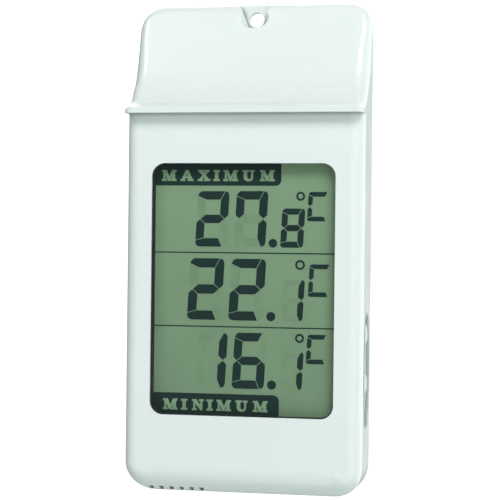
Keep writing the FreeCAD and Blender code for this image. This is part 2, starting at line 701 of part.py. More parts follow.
def make_frame_and_board():
    frame_round, seat_gap, seat_round, pilot_radius, pilot_length = 2, 0.3, 0.6, 0.72, 6
    rails = plate("frame_rails", rectangle("frame_half", "board_low", "board_high", frame_round),
                  "board_depth + 0.05", "lens_depth - board_depth - 1.6")
    seat = plate("frame_seat", rectangle(f"glass_width / 2 + {seat_gap}",
                                         f"glass_low - {seat_gap}", f"glass_high + {seat_gap}",
                                         seat_round), "board_depth - 1", 8)
    places = board_screw_places()
    pilots = [rod(f"frame_pilot_{i}", pilot_radius, pilot_length, "front", x,
                  "board_depth - 0.7", up) for i, (x, up) in enumerate(places)]
    node("lcd_frame", cut("lcd_frame", rails, [seat] + pilots))

    rear = "(board_depth - board_thick)"
    notch_deep, notch_half, corner = 1.6, 4.5, 1
    notch = f"board_half - {notch_deep}"
    notch_low, notch_high = f"lower_height - {notch_half}", f"upper_height + {notch_half}"
    outline = [
        ("-board_half", "board_low", corner), ("board_half", "board_low", corner),
        ("board_half", notch_low), (notch, notch_low), (notch, notch_high),
        ("board_half", notch_high), ("board_half", "board_high", corner),
        ("-board_half", "board_high", corner)]
    blank = plate("board_blank", outline, rear, "board_thick - 0.02")
    holes = [rod(f"board_hole_{i}", "board_shank_radius + 0.15", 3, "front", x, f"{rear} - 1",
                 up) for i, (x, up) in enumerate(places)]
    node("circuit_board", cut("circuit_board", blank, holes))

    head_thick, shank_length, slot_reach, slot_half, slot_bottom = 1.1, 5, 1, 0.2, 0.7
    screws = []
    for i, (x, up) in enumerate(places):
        head = rod(f"board_head_{i}", "board_head_radius", head_thick, "front", x,
                   f"{rear} - {head_thick} - 0.02", up)
        shank = rod(f"board_shank_{i}", "board_shank_radius", shank_length, "front", x,
                    f"{rear} - 0.5", up)
        depths = (f"{rear} - 2", f"{rear} - {slot_bottom}")
        screws.append(crossed_screw(f"board_screw_{i}", head, shank, x, up, depths, slot_reach,
                                    slot_half))
    node("board_screws", group("board_screws", screws))


def make_board_parts():
    rear = "(board_depth - board_thick)"
    blob_radius, blob_tall, blob_round, blob_height, gap = 6.5, 1.7, 1.4, 72, 0.05
    blob = rod("blob_disc", blob_radius, blob_tall, "front", 0, f"{rear} - {blob_tall} - {gap}",
               blob_height)
    doc.recompute()
    back = number(f"{blob_tall} + {gap} - {rear}")
    rim = edges_where(blob.Shape, lambda edge, at: abs(at.y - back) < 1e-3)
    node("controller_blob", rounded("controller_blob", blob,
                                    [(index, blob_round, blob_round) for index in rim]))
    crystal_radius, crystal_length, crystal_x, crystal_height = 1.5, 8, 15, 68
    node("timing_crystal", rod("timing_crystal", crystal_radius, crystal_length, "up", crystal_x,
                               f"{rear} - {crystal_radius} - {gap}", crystal_height))
    chip_long, chip_wide, chip_tall, chip_gap = 2, 1.3, 0.92, 0.03
    spots = ((-14, 76), (-14, 70), (10, 84), (-8, 86), (18, 84))
    chips = [box(f"chip_{i}", (x, x + chip_long),
                 (f"{rear} - {chip_tall} - {chip_gap}", f"{rear} - {chip_gap}"),
                 (up, up + chip_wide)) for i, (x, up) in enumerate(spots)]
    node("chip_capacitors", group("chip_capacitors", chips))


# ---------------------------------------------------------------- buttons

def make_buttons():
    levels = (("upper", "upper_height"), ("lower", "lower_height"))
    floor = "(width / 2 - oval_sink)"
    rim = "(width / 2 + rim_proud)"
    inside = "(width / 2 - wall)"
    fit, overlap = 0.1, 0.9
    core_start = f"{inside} - {overlap}"
    core = profile("bezel_core", oval(-fit), core_start, f"{rim} - ({core_start})")
    dish = profile("bezel_dish", oval(-fit - number("rim_thick")), floor, CUT_CLEAR)
    flange = profile("bezel_flange", oval(overlap), f"{inside} - flange_thick - 0.05",
                     "flange_thick")
    holes = [rod(f"{name}_guide", "button_radius + button_gap", 8, "right", 30, "button_depth", up)
             for name, up in levels]
    node("button_bezel", cut("button_bezel", join("bezel_solid", [core, flange]), [dish] + holes))

    cap_round = 0.45
    switch_across, switch_rear, switch_half = (26.4, 30.5), 8.3, 3
    plunger_radius, plunger_gap, plunger_start, plunger_length = 1.0, 0.08, 29.98, 2.45
    for name, up in levels:
        cap = rod(f"{name}_cap", "button_radius", "button_length", "right",
                  "width / 2 - button_sink - button_length", "button_depth", up)
        doc.recompute()
        outer = number("width / 2 - button_sink")
        edges = edges_where(cap.Shape, lambda edge, at: abs(at.x - outer) < 1e-3)
        soft = rounded(f"{name}_cap_soft", cap, [(i, cap_round, cap_round) for i in edges])
        skirt = rod(f"{name}_skirt", "button_radius + skirt_rim", "skirt_thick", "right",
                    "width / 2 - button_sink - button_length - 0.5", "button_depth", up)
        node(f"{name}_button", join(f"{name}_button", [soft, skirt]))
        shell = box(f"{name}_switch_shell", switch_across,
                    (switch_rear, "board_depth - board_thick - 0.02"),
                    (f"{up} - {switch_half}", f"{up} + {switch_half}"))
        bore = rod(f"{name}_switch_bore", plunger_radius + plunger_gap, 2, "right", 29.3,
                   "button_depth", up)
        node(f"{name}_switch", cut(f"{name}_switch", shell, [bore]))
        node(f"{name}_switch_plunger", rod(f"{name}_switch_plunger", plunger_radius,
                                           plunger_length, "right", plunger_start,
                                           "button_depth", up))


# ---------------------------------------------------------------- screws, wires and sensor

def make_case_screws():
    slot_reach, slot_half, slot_bottom = 1.4, 0.3, 1.2
    screws = []
    for spot, x, up in screw_places():
        head = rod(f"head_{spot}", "head_radius", "head_thick", "front", x, "head_sunk", up)
        shank = rod(f"shank_{spot}", "shank_radius", "shank_length", "front", x, "head_thick", up)
        screws.append(crossed_screw(f"screw_{spot}", head, shank, x, up, (-1, slot_bottom),
                                    slot_reach, slot_half))
    node("case_screws", group("case_screws", screws))


def bent_tube(route, size):
    """A round tube along straight runs joined by tangent arcs, from (x, depth, height) points."""
    bend_share = 0.45
    lift = number("hole_height")
    points = [FreeCAD.Vector(x, -depth, up - lift) for x, depth, up in route]
    edges, start, radii = [], points[0], []
    for before, corner, after in zip(points, points[1:], points[2:]):
        back = before - corner
        ahead = after - corner
        reach = bend_share * min(back.Length, ahead.Length)
        half_between = back.getAngle(ahead) / 2
        radius = reach * math.tan(half_between)
        radii.append(round(radius, 1))
        back.normalize()
        ahead.normalize()
        first, last = corner + back * reach, corner + ahead * reach
        inwards = (back + ahead).normalize()
        middle = corner + inwards * (radius / math.sin(half_between) - radius)
        edges.append(Part.LineSegment(start, first).toShape())
        edges.append(Part.Arc(first, middle, last).toShape())
        start = last
    edges.append(Part.LineSegment(start, points[-1]).toShape())
    print(f"radii {radii}")
    return swept(edges, points[0], points[1] - points[0], size)


def make_wires():
    """The leads from the battery contacts' tabs to the back of the board."""
    tab, tab_top = number("well_half") - 0.35, 18.65
    board_rear, board_gap = number("board_depth - board_thick"), 0.12
    for name, side in (("black_wire", -1), ("red_wire", 1)):
        route = [(side * tab, 7.2, tab_top), (side * (tab + 0.2), 6.6, 27.5),
                 (side * 19.5, 5.6, 35), (side * 11, 6.0, 38.6),
                 (side * 10.2, board_rear - board_gap, 39.2)]
        tube_node(name, bent_tube(route, number("wire_size")))


def make_sensor():
    """The temperature sensor above the vents, on two legs from the board."""
    x, depth, low, radius, tall, bead_round = -20, 15.6, 5.8, 1.5, 3, 0.9
    bead = rod("bead_rod", radius, tall, "up", x, depth, low)
    doc.recompute()
    rims = edges_where(bead.Shape, lambda edge, at: edge.Curve.TypeId == "Part::GeomCircle")
    node("sensor_bead", rounded("sensor_bead", bead,
                                [(index, bead_round, bead_round) for index in rims]))
    leg_apart, contact_gap = 1.2, 0.03
    rear = number("board_depth - board_thick - leg_size / 2") - contact_gap
    legs = [bent_tube([(x + side * leg_apart / 2, rear, 22.6), (x + side * leg_apart / 2, rear, 16.8),
                       (x + side * leg_apart / 2, 15.1, 14.2),
                       (x + side * leg_apart / 2, depth, low + tall + contact_gap)],
                      number("leg_size")) for side in (-1, 1)]
    tube_node("sensor_leads", Part.makeCompound(legs))


def write_parts():
    doc.recompute()
    for item in doc.Objects:
        if "Invalid" in item.State or "Error" in item.State:
            raise RuntimeError(f"{item.Label} did not build: {item.State}")
    os.makedirs("parts", exist_ok=True)
    for name, item in NODES.items():
        shape = item.Shape
        if shape.isNull() or not shape.isValid() or not shape.Solids:
            raise RuntimeError(f"{name} has no valid solid")
        shape.exportStep(f"parts/{name}.step")
        print(name, len(shape.Solids), round(shape.Volume, 1))


make_front_shell()
make_rear_shell()
make_battery_door()
make_battery()
make_contacts()
make_spring()
make_display()
make_frame_and_board()
make_board_parts()
make_buttons()
make_case_screws()
make_wires()
make_sensor()
write_parts()
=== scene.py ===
import math

import bpy
from mathutils import Matrix, Vector
from mathutils.geometry import tessellate_polygon


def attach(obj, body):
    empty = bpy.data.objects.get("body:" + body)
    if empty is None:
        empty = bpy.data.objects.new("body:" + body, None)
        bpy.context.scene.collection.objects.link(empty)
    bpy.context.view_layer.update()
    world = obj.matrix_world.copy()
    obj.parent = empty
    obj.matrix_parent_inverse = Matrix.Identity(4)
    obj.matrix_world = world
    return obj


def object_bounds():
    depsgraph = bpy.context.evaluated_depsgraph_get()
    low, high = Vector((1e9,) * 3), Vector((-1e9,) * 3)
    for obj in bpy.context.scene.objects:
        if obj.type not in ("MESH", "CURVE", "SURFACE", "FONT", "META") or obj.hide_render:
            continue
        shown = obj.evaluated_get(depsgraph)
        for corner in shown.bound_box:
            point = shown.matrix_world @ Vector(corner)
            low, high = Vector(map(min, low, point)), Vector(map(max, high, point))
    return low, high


# Looks of a wall thermometer with a rain hood and a large liquid crystal display.
# Sizes are in millimetres until to_frame() turns them into the frame's metres. x is to the right
# seen from the front, height is above the casing's bottom edge, depth is in front of the wall.

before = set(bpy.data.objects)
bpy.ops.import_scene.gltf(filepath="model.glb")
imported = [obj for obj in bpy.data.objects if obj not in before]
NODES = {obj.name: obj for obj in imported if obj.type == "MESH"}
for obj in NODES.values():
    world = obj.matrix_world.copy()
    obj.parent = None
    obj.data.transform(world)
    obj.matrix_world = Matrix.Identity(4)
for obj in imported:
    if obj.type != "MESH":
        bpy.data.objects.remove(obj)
CAD_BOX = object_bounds()

MM = 0.001
HOLE_HEIGHT = 145.5


def to_frame(x, height, depth):
    """A point of the thermometer in the frame, in metres."""
    return Vector((x * MM, -depth * MM, (height - HOLE_HEIGHT) * MM))


# ---------------------------------------------------------------- materials

NOISE_LOW, NOISE_HIGH = 0.3, 0.7
COLOUR_A, COLOUR_B, COLOUR_RESULT = 6, 7, 2
# For the painted shade in gaps and corners: how much of the surroundings is open, from a deep gap
# to a clear face, and rays that test it.
OPEN_LOW, OPEN_HIGH = 0.32, 0.72
OPEN_RAYS = 6
# Below acrylic's own 1.49, for a window that mirrors as little as the photo's.
LENS_IOR = 1.3
LCD_GREEN = (0.222, 0.345, 0.212)
LCD_INK = (0.013, 0.033, 0.030)


def new_material(name):
    """A material with its Principled shader; returns the material, its tree and the shader."""
    material = bpy.data.materials.new(name)
    material.use_nodes = True
    tree = material.node_tree
    return material, tree, tree.nodes["Principled BSDF"]


def noise(tree, scale, detail, stretch=None):
    """Noise laid on the object's own coordinates, drawn out along an axis if asked."""
    coords = tree.nodes.new("ShaderNodeTexCoord")
    source = coords.outputs["Object"]
    if stretch:
        mapping = tree.nodes.new("ShaderNodeMapping")
        mapping.inputs["Scale"].default_value = stretch
        tree.links.new(source, mapping.inputs["Vector"])
        source = mapping.outputs["Vector"]
    texture = tree.nodes.new("ShaderNodeTexNoise")
    texture.inputs["Scale"].default_value = scale
    texture.inputs["Detail"].default_value = detail
    tree.links.new(source, texture.inputs["Vector"])
    return texture.outputs["Fac"]


def ramp(tree, factor, dark, light, start=NOISE_LOW, end=NOISE_HIGH):
    """Colours between two ends along a factor."""
    node = tree.nodes.new("ShaderNodeValToRGB")
    low, high = node.color_ramp.elements
    low.position, high.position = start, end
    low.color, high.color = (*dark, 1), (*light, 1)
    tree.links.new(factor, node.inputs["Fac"])
    return node.outputs["Color"]


def spread(tree, factor, low, high):
    """A number between two ends along a factor."""
    node = tree.nodes.new("ShaderNodeMapRange")
    node.inputs["From Min"].default_value = NOISE_LOW
    node.inputs["From Max"].default_value = NOISE_HIGH
    node.inputs["To Min"].default_value = low
    node.inputs["To Max"].default_value = high
    tree.links.new(factor, node.inputs["Value"])
    return node.outputs["Result"]


def multiplied(tree, colours, factor):
    """Colours multiplied by another colour or by a number."""
    blend = tree.nodes.new("ShaderNodeMix")
    blend.data_type = "RGBA"
    blend.blend_type = "MULTIPLY"
    blend.inputs["Factor"].default_value = 1.0
    tree.links.new(colours, blend.inputs[COLOUR_A])
    tree.links.new(factor, blend.inputs[COLOUR_B])
    return blend.outputs[COLOUR_RESULT]


def bump(tree, shader, factor, height_mm):
    """Fine relief on a surface."""
    node = tree.nodes.new("ShaderNodeBump")
    node.inputs["Strength"].default_value = 1.0
    node.inputs["Distance"].default_value = height_mm * MM
    tree.links.new(factor, node.inputs["Height"])
    tree.links.new(node.outputs["Normal"], shader.inputs["Normal"])


def shaded(tree, colours, reach_mm, darkest):
    """Painted shade: colours that deepen in corners, slots and gaps, where light hardly gets in.
    """
    around = tree.nodes.new("ShaderNodeAmbientOcclusion")
    around.samples = OPEN_RAYS
    around.inputs["Distance"].default_value = reach_mm * MM
    depth = tree.nodes.new("ShaderNodeMapRange")
    depth.inputs["From Min"].default_value = OPEN_LOW
    depth.inputs["From Max"].default_value = OPEN_HIGH
    depth.inputs["To Min"].default_value = darkest
    tree.links.new(around.outputs["AO"], depth.inputs["Value"])
    return multiplied(tree, colours, depth.outputs["Result"])


def tinted(colour, factor):
    """A colour made lighter or darker."""
    return [min(1.0, part * factor) for part in colour]


def plastic(name, colour, roughness, drift=0.012, grain_mm=0.004, grain_scale=700.0,
            gloss_drift=0.1, corners=None):
    """Moulded plastic: faint colour and gloss drift, a fine texture from the mould, and painted
    shade in corners when corners are given.
    """
    material, tree, shader = new_material(name)
    broad = noise(tree, 30.0, 3.0)
    colours = ramp(tree, broad, tinted(colour, 1 - drift), tinted(colour, 1 + drift))
    # Painted shade in corners, slots and gaps, darkening the colour where light hardly reaches.
    if corners:
        colours = shaded(tree, colours, *corners)
    tree.links.new(colours, shader.inputs["Base Color"])
    polish = spread(tree, noise(tree, 90.0, 4.0), roughness * (1 - gloss_drift),
                    roughness * (1 + gloss_drift))
    tree.links.new(polish, shader.inputs["Roughness"])
    bump(tree, shader, noise(tree, grain_scale, 2.0), grain_mm)
    return material


def metal(name, colour, roughness, stretch):
    """Metal with a fine grain, drawn out into lines along an axis that is stretched below 1."""
    material, tree, shader = new_material(name)
    lines = noise(tree, 400.0, 3.0, stretch)
    tree.links.new(ramp(tree, lines, tinted(colour, 0.88), tinted(colour, 1.05)),
                   shader.inputs["Base Color"])
    tree.links.new(spread(tree, lines, roughness * 0.75, roughness * 1.3),
                   shader.inputs["Roughness"])
    shader.inputs["Metallic"].default_value = 1.0
    bump(tree, shader, lines, 0.003)
    return material


def clear_lens(name):
    """Clear acrylic: what lies behind shows through, and the surface mirrors a little."""
    material, tree, shader = new_material(name)
    shader.inputs["Base Color"].default_value = (0.9, 0.92, 0.91, 1)
    shader.inputs["Metallic"].default_value = 1.0
    tree.links.new(spread(tree, noise(tree, 60.0, 2.0), 0.05, 0.09), shader.inputs["Roughness"])
    see_through = tree.nodes.new("ShaderNodeBsdfTransparent")
    # The inner side of each face mirrors as little as its outer side, or it would hold light back.
    face_side = tree.nodes.new("ShaderNodeNewGeometry")
    index = tree.nodes.new("ShaderNodeMapRange")
    index.inputs["To Min"].default_value = LENS_IOR
    index.inputs["To Max"].default_value = 1 / LENS_IOR
    tree.links.new(face_side.outputs["Backfacing"], index.inputs["Value"])
    edge = tree.nodes.new("ShaderNodeFresnel")
    tree.links.new(index.outputs["Result"], edge.inputs["IOR"])
    mix = tree.nodes.new("ShaderNodeMixShader")
    tree.links.new(edge.outputs["Fac"], mix.inputs["Fac"])
    tree.links.new(see_through.outputs["BSDF"], mix.inputs[1])
    tree.links.new(shader.outputs["BSDF"], mix.inputs[2])
    output = tree.nodes["Material Output"]
    tree.links.new(mix.outputs["Shader"], output.inputs["Surface"])
    return material


def display_film(name, colour):
    """The display's face: a silvery green film with a slight mottle and fine vertical lines."""
    material, tree, shader = new_material(name)
    colours = ramp(tree, noise(tree, 55.0, 4.0), tinted(colour, 0.95), tinted(colour, 1.05))
    # Painted light: the film is paler towards its top, offsetting the casing edge's shadow there,
    # and darkens a little towards its foot.
    coords = tree.nodes.new("ShaderNodeTexCoord")
    split = tree.nodes.new("ShaderNodeSeparateXYZ")
    tree.links.new(coords.outputs["Generated"], split.inputs["Vector"])
    painted_top_light = ramp(tree, split.outputs["Z"], (0.86, 0.86, 0.86), (1, 1, 1), 0.05, 0.95)
    tree.links.new(multiplied(tree, colours, painted_top_light), shader.inputs["Base Color"])
    lines = noise(tree, 900.0, 2.0, (1.0, 1.0, 0.12))
    tree.links.new(spread(tree, lines, 0.42, 0.52), shader.inputs["Roughness"])
    shader.inputs["Specular IOR Level"].default_value = 0.25
    bump(tree, shader, lines, 0.002)
    return material


def ink(name, colour):
    """Darkened liquid crystal, seen through the film."""
    material, tree, shader = new_material(name)
    mottle = noise(tree, 160.0, 3.0)
    tree.links.new(ramp(tree, mottle, tinted(colour, 0.92), tinted(colour, 1.08)),
                   shader.inputs["Base Color"])
    tree.links.new(spread(tree, mottle, 0.45, 0.55), shader.inputs["Roughness"])
    shader.inputs["Specular IOR Level"].default_value = 0.05
    return material


def dress(names, material):
    """Gives CAD nodes a finished material."""
    for name in names:
        data = NODES[name].data
        data.materials.clear()
        data.materials.append(material)


# The casing's colour carries painted shade in its vent slots, its gaps and the corner under the
# hood's lip.
casing_white = plastic("casing_white", (0.808, 0.873, 0.858), 0.2, grain_mm=0.0015,
                       corners=(2.4, 0.03))
back_white = plastic("back_white", (0.80, 0.89, 0.86), 0.38, grain_mm=0.006, grain_scale=1400.0)
dress(["front_shell"], casing_white)
dress(["rear_shell", "battery_door"], back_white)
dress(["display_lens"], clear_lens("lens_acrylic"))
dress(["display_gasket"], plastic("gasket_foam", (0.012, 0.016, 0.015), 0.75, 0.2, 0.02, 2500.0))
dress(["lcd_front_polariser"], display_film("display_film", LCD_GREEN))
dress(["lcd_front_glass", "lcd_rear_glass"], plastic("display_glass", (0.55, 0.62, 0.58), 0.06))
dress(["lcd_reflector"], metal("reflector_foil", (0.75, 0.77, 0.74), 0.35, (1, 1, 0.1)))
dress(["upper_zebra_strip", "lower_zebra_strip"],
      plastic("zebra_rubber", (0.55, 0.32, 0.30), 0.6, 0.1))
dress(["lcd_frame"], plastic("frame_plastic", (0.62, 0.66, 0.64), 0.45))
dress(["circuit_board"], plastic("board_laminate", (0.04, 0.19, 0.08), 0.35, 0.08))
dress(["controller_blob"], plastic("epoxy_black", (0.014, 0.014, 0.015), 0.25, 0.2, 0.03, 300.0))
dress(["timing_crystal", "board_screws", "case_screws"],
      metal("steel", (0.60, 0.60, 0.58), 0.3, (1, 1, 1)))
dress(["battery_spring", "negative_contact", "positive_contact"],
      metal("nickel_plate", (0.72, 0.70, 0.65), 0.22, (0.2, 1, 1)))
dress(["chip_capacitors"], plastic("ceramic_tan", (0.42, 0.30, 0.19), 0.5, 0.06))
# The bezel's colour carries painted shade along its walls and at the narrow ends of its oval.
dress(["button_bezel"], plastic("bezel_grey", (0.46, 0.55, 0.52), 0.45, 0.03, 0.01, 1500.0,
                                 corners=(1.2, 0.3)))
dress(["upper_button", "lower_button"],
      plastic("button_green", (0.62, 0.74, 0.70), 0.45, 0.015, 0.004))
dress(["upper_switch", "lower_switch"], plastic("switch_body", (0.05, 0.05, 0.055), 0.45, 0.1))
dress(["upper_switch_plunger", "lower_switch_plunger"],
      plastic("plunger_white", (0.75, 0.74, 0.70), 0.4))
dress(["battery"], plastic("cell_jacket", (0.09, 0.10, 0.12), 0.3, 0.1))
dress(["red_wire"], plastic("red_pvc", (0.55, 0.03, 0.02), 0.4, 0.05))
dress(["black_wire"], plastic("black_pvc", (0.02, 0.02, 0.02), 0.4, 0.1))
dress(["sensor_bead"], plastic("sensor_epoxy", (0.03, 0.025, 0.02), 0.3, 0.15))
dress(["sensor_leads"], metal("tinned_wire", (0.75, 0.75, 0.74), 0.25, (1, 1, 0.2)))


# ---------------------------------------------------------------- the display's picture

# The film's face in front of the wall, the layers on it and how far each sinks in to join it.
FILM_DEPTH = 17.8
INK_THICK, UNLIT_SHARE = 0.04, 0.6
LETTER_THICK = 0.03
SUNK = 0.01


def signed_area(loop):
    """The area inside a loop, negative if the loop runs clockwise."""
    size = len(loop)
    return sum(loop[i][0] * loop[(i + 1) % size][1] - loop[(i + 1) % size][0] * loop[i][1]
               for i in range(size)) / 2


def slab(outlines, depth, thick):
    """Vertices and faces of flat closed pieces; each outline is [outer loop, hole, ...]."""
    points, faces = [], []
    for loops in outlines:
        loops = [loop if (signed_area(loop) > 0) == (order == 0) else loop[::-1]
                 for order, loop in enumerate(loops)]
        flat = [point for loop in loops for point in loop]
        start, count = len(points), len(flat)
        for level in (depth + thick, depth - SUNK):
            points += [to_frame(x, height, level) for x, height in flat]
        for a, b, c in tessellate_polygon([[Vector((*point, 0)) for point in loop]
                                           for loop in loops]):
            if signed_area([flat[a], flat[b], flat[c]]) < 0:
                b, c = c, b
            faces.append((start + a, start + b, start + c))
            faces.append((start + count + a, start + count + c, start + count + b))
        first = start
        for loop in loops:
            size = len(loop)
            for i in range(size):
                here, after = first + i, first + (i + 1) % size
                faces.append((after, here, here + count, after + count))
            first += size
    return points, faces


def printed(name, outlines, depth, thick, material):
    """One piece of the display's picture."""
    points, faces = slab(outlines, depth, thick)
    mesh = bpy.data.meshes.new(name)
    mesh.from_pydata(points, [], faces)
    mesh.materials.append(material)
    piece = bpy.data.objects.new(name, mesh)
    bpy.context.scene.collection.objects.link(piece)
    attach(piece, "casing")


def shrunk(outline, gap):
    """An outline moved inwards all round, or outwards by a negative gap."""
    size = len(outline)
    turn = 1 if signed_area(outline) > 0 else -1
    lines = []
    for i in range(size):
        (x0, y0), (x1, y1) = outline[i], outline[(i + 1) % size]
        length = math.hypot(x1 - x0, y1 - y0)
        along_x, along_y = (x1 - x0) / length, (y1 - y0) / length
        lines.append((x0 - along_y * turn * gap, y0 + along_x * turn * gap, along_x, along_y))
    corners = []
    for i in range(size):
        ax, ay, a_along_x, a_along_y = lines[i - 1]
        bx, by, b_along_x, b_along_y = lines[i]
        cross = a_along_x * b_along_y - a_along_y * b_along_x
        step = ((bx - ax) * b_along_y - (by - ay) * b_along_x) / cross
        corners.append((ax + a_along_x * step, ay + a_along_y * step))
    return corners


def segments(w, h, t):
    """The seven segments of a numeral w wide, h tall and t thick, by their usual letters."""
    mid, half = h / 2, t / 2
    return {
        "a": [(0, h - 0.55 * t), (0.14 * t, h - 0.22 * t), (0.45 * t, h), (w - 0.5 * t, h),
              (w - t, h - t), (t, h - t)],
        "b": [(w - 0.5 * t, h), (w - 0.14 * t, h - 0.14 * t), (w, h - 0.5 * t),
              (w, mid + 0.4 * t), (w - 0.42 * t, mid), (w - t, mid + half), (w - t, h - t)],
        "c": [(w - 0.42 * t, mid), (w, mid - 0.4 * t), (w, 0.5 * t), (w - 0.14 * t, 0.14 * t),
              (w - 0.55 * t, 0), (w - t, t), (w - t, mid - half)],
        "d": [(0, 0.72 * t), (0, 0.45 * t), (0.14 * t, 0.16 * t), (0.45 * t, 0), (w - 0.55 * t, 0),
              (w - t, t), (t, t)],
        "e": [(0, 0.72 * t), (t, t), (t, mid - half), (0.42 * t, mid), (0, mid - 0.4 * t)],
        "f": [(0, mid + 0.4 * t), (0.42 * t, mid), (t, mid + half), (t, h - t), (0, h - 0.55 * t)],
        "g": [(0.42 * t, mid), (t, mid - half), (w - t, mid - half), (w - 0.42 * t, mid),
              (w - t, mid + half), (t, mid + half)],
    }


# Numerals lean to the right, and a thin gap parts their segments.
SLANT = math.tan(math.radians(3))
SEGMENT_GAP = 0.1
LIT = {"1": "bc", "2": "abged", "6": "afedcg", "7": "fabc", "8": "abcdefg", "C": "afed"}


def numeral(sign, x, height, w, h, t, shown=True):
    """Outlines of a numeral's lit segments, or of its unlit ones, leaning to the right."""
    outlines = []
    for letter, outline in segments(w, h, t).items():
        if (letter in LIT[sign]) == shown:
            outlines.append([[(x + px + py * SLANT, height + py)
                              for px, py in shrunk(outline, SEGMENT_GAP)]])
    return outlines


def disc(x, height, radius, steps=36):
    """A circle as a loop of short straight sides."""
    return [(x + radius * math.cos(2 * math.pi * i / steps),
             height + radius * math.sin(2 * math.pi * i / steps)) for i in range(steps)]


# Each row: its large and small numerals and its C as (sign, left, bottom, width, height,
# thickness), its point as (x, height, radius) and the degree ring with its inner radius.
ROWS = [
    {"large": [("2", -15.45, 74.85, 9.95, 17.0, 2.75), ("7", -3.4, 74.92, 9.9, 17.0, 2.75)],
     "small": ("8", 10.87, 74.75, 7.2, 12.0, 2.05), "point": (8.78, 76.14, 1.33),
     "ring": (17.12, 90.33, 1.36, 0.76), "unit": ("C", 19.0, 82.75, 6.75, 9.0, 1.6)},
    {"large": [("2", -17.75, 52.63, 10.85, 18.85, 3.0), ("2", -4.9, 52.6, 10.85, 18.85, 3.0)],
     "small": ("1", 11.4, 52.71, 6.74, 12.6, 2.0), "point": (8.39, 54.05, 1.4),
     "ring": (17.17, 69.71, 1.5, 0.88), "unit": ("C", 19.5, 60.1, 7.1, 9.95, 1.6)},
    {"large": [("1", -14.85, 32.05, 9.3, 16.9, 2.75), ("6", -3.6, 32.0, 10.1, 17.1, 2.75)],
     "small": ("1", 11.35, 32.0, 6.74, 11.62, 2.0), "point": (8.84, 33.44, 1.39),
     "ring": (17.24, 47.68, 1.36, 0.76), "unit": ("C", 19.1, 39.95, 6.75, 9.0, 1.6)},
]

# Slab-serif capitals, one high: [outer, hole, ...] outlines.
CAPITALS = {
    "M": [[(0, 0), (.42, 0), (.42, .14), (.29, .14), (.29, .70), (.60, 0), (.72, 0), (.97, .66),
           (.97, .14), (.84, .14), (.84, 0), (1.38, 0), (1.38, .14), (1.24, .14), (1.24, .86),
           (1.38, .86), (1.38, 1), (.98, 1), (.71, .36), (.42, 1), (0, 1), (0, .86), (.14, .86),
           (.14, .14), (0, .14)]],
    "A": [[(0, 0), (.43, 0), (.43, .14), (.33, .14), (.38, .26), (.75, .26), (.80, .14),
           (.69, .14), (.69, 0), (1.22, 0), (1.22, .14), (1.11, .14), (.74, 1), (.50, 1),
           (.12, .14), (0, .14)], [(.44, .40), (.57, .73), (.70, .40)]],
    "X": [[(0, 0), (.45, 0), (.45, .14), (.36, .14), (.55, .37), (.72, .14), (.61, .14), (.61, 0),
           (1.16, 0), (1.16, .14), (1.05, .14), (.70, .55), (.97, .86), (1.10, .86), (1.10, 1),
           (.66, 1), (.66, .86), (.77, .86), (.62, .68), (.47, .86), (.56, .86), (.56, 1),
           (.03, 1), (.03, .86), (.14, .86), (.46, .50), (.14, .14), (0, .14)]],
    "I": [[(0, 0), (.58, 0), (.58, .14), (.43, .14), (.43, .86), (.58, .86), (.58, 1), (0, 1),
           (0, .86), (.15, .86), (.15, .14), (0, .14)]],
    "N": [[(0, 0), (.42, 0), (.42, .14), (.28, .14), (.28, .68), (.82, 0), (.97, 0), (.97, .86),
           (1.11, .86), (1.11, 1), (.68, 1), (.68, .86), (.82, .86), (.82, .40), (.38, 1),
           (0, 1), (0, .86), (.13, .86), (.13, .14), (0, .14)]],
    "U": [[(0, 1), (0, .86), (.13, .86), (.13, .34), (.20, .13), (.36, .02), (.60, -.02),
           (.82, .03), (.95, .16), (1.0, .36), (1.0, .86), (1.14, .86), (1.14, 1), (.70, 1),
           (.70, .86), (.86, .86), (.86, .38), (.81, .22), (.70, .14), (.58, .14), (.48, .22),
           (.43, .38), (.43, .86), (.56, .86), (.56, 1)]],
}
# Height of the capitals, what makes them bolder, and each letter's left edge in its line.
TALL, BOLD = 3.2, 0.09
MAXIMUM_LINE = [("M", -25.85), ("A", -20.0), ("X", -14.6), ("I", -9.75), ("M", -6.65),
                ("U", -0.8), ("M", 4.65)]
MINIMUM_LINE = [("M", -24.75), ("I", -19.1), ("N", -15.65), ("I", -11.1), ("M", -8.05),
                ("U", -2.15), ("M", 3.25)]
# Heights and side edges of the lines of letters, the dark bands and the dividing lines.
MAXIMUM_FOOT, MINIMUM_FOOT = 94.9, 25.25
LINE_LEFT, LINE_RIGHT = -27.9, 28.3
BANNER_RIGHT, BANNER_CORNER = 11.15, 1.7
MAXIMUM_LOW, MAXIMUM_HIGH = 93.45, 101.0
MINIMUM_LOW, MINIMUM_HIGH = 23.0, 30.35
DIVIDERS = (73.12, 50.72)
DIVIDER_THICK = 0.36
ARC_STEPS = 6


def words(line, foot):
    """Outlines of a line of capitals, made a little bolder all round."""
    outlines = []
    for sign, x in line:
        loops = [[(x + px * TALL, foot + py * TALL) for px, py in loop]
                 for loop in CAPITALS[sign]]
        outlines.append([shrunk(loops[0], -BOLD)] + [shrunk(loop, BOLD) for loop in loops[1:]])
    return outlines


def banner(low, high, round_foot):
    """A dark band from the display's left edge, with one rounded corner at its right end."""
    middle_x = BANNER_RIGHT - BANNER_CORNER
    middle_y = low + BANNER_CORNER if round_foot else high - BANNER_CORNER
    first = -90 if round_foot else 0
    angles = [math.radians(first + 90 * i / ARC_STEPS) for i in range(ARC_STEPS + 1)]
    arc = [(middle_x + BANNER_CORNER * math.cos(angle), middle_y + BANNER_CORNER * math.sin(angle))
           for angle in angles]
    if round_foot:
        return [[(LINE_LEFT, low)] + arc + [(BANNER_RIGHT, high), (LINE_LEFT, high)]]
    return [[(LINE_LEFT, low), (BANNER_RIGHT, low)] + arc + [(LINE_LEFT, high)]]


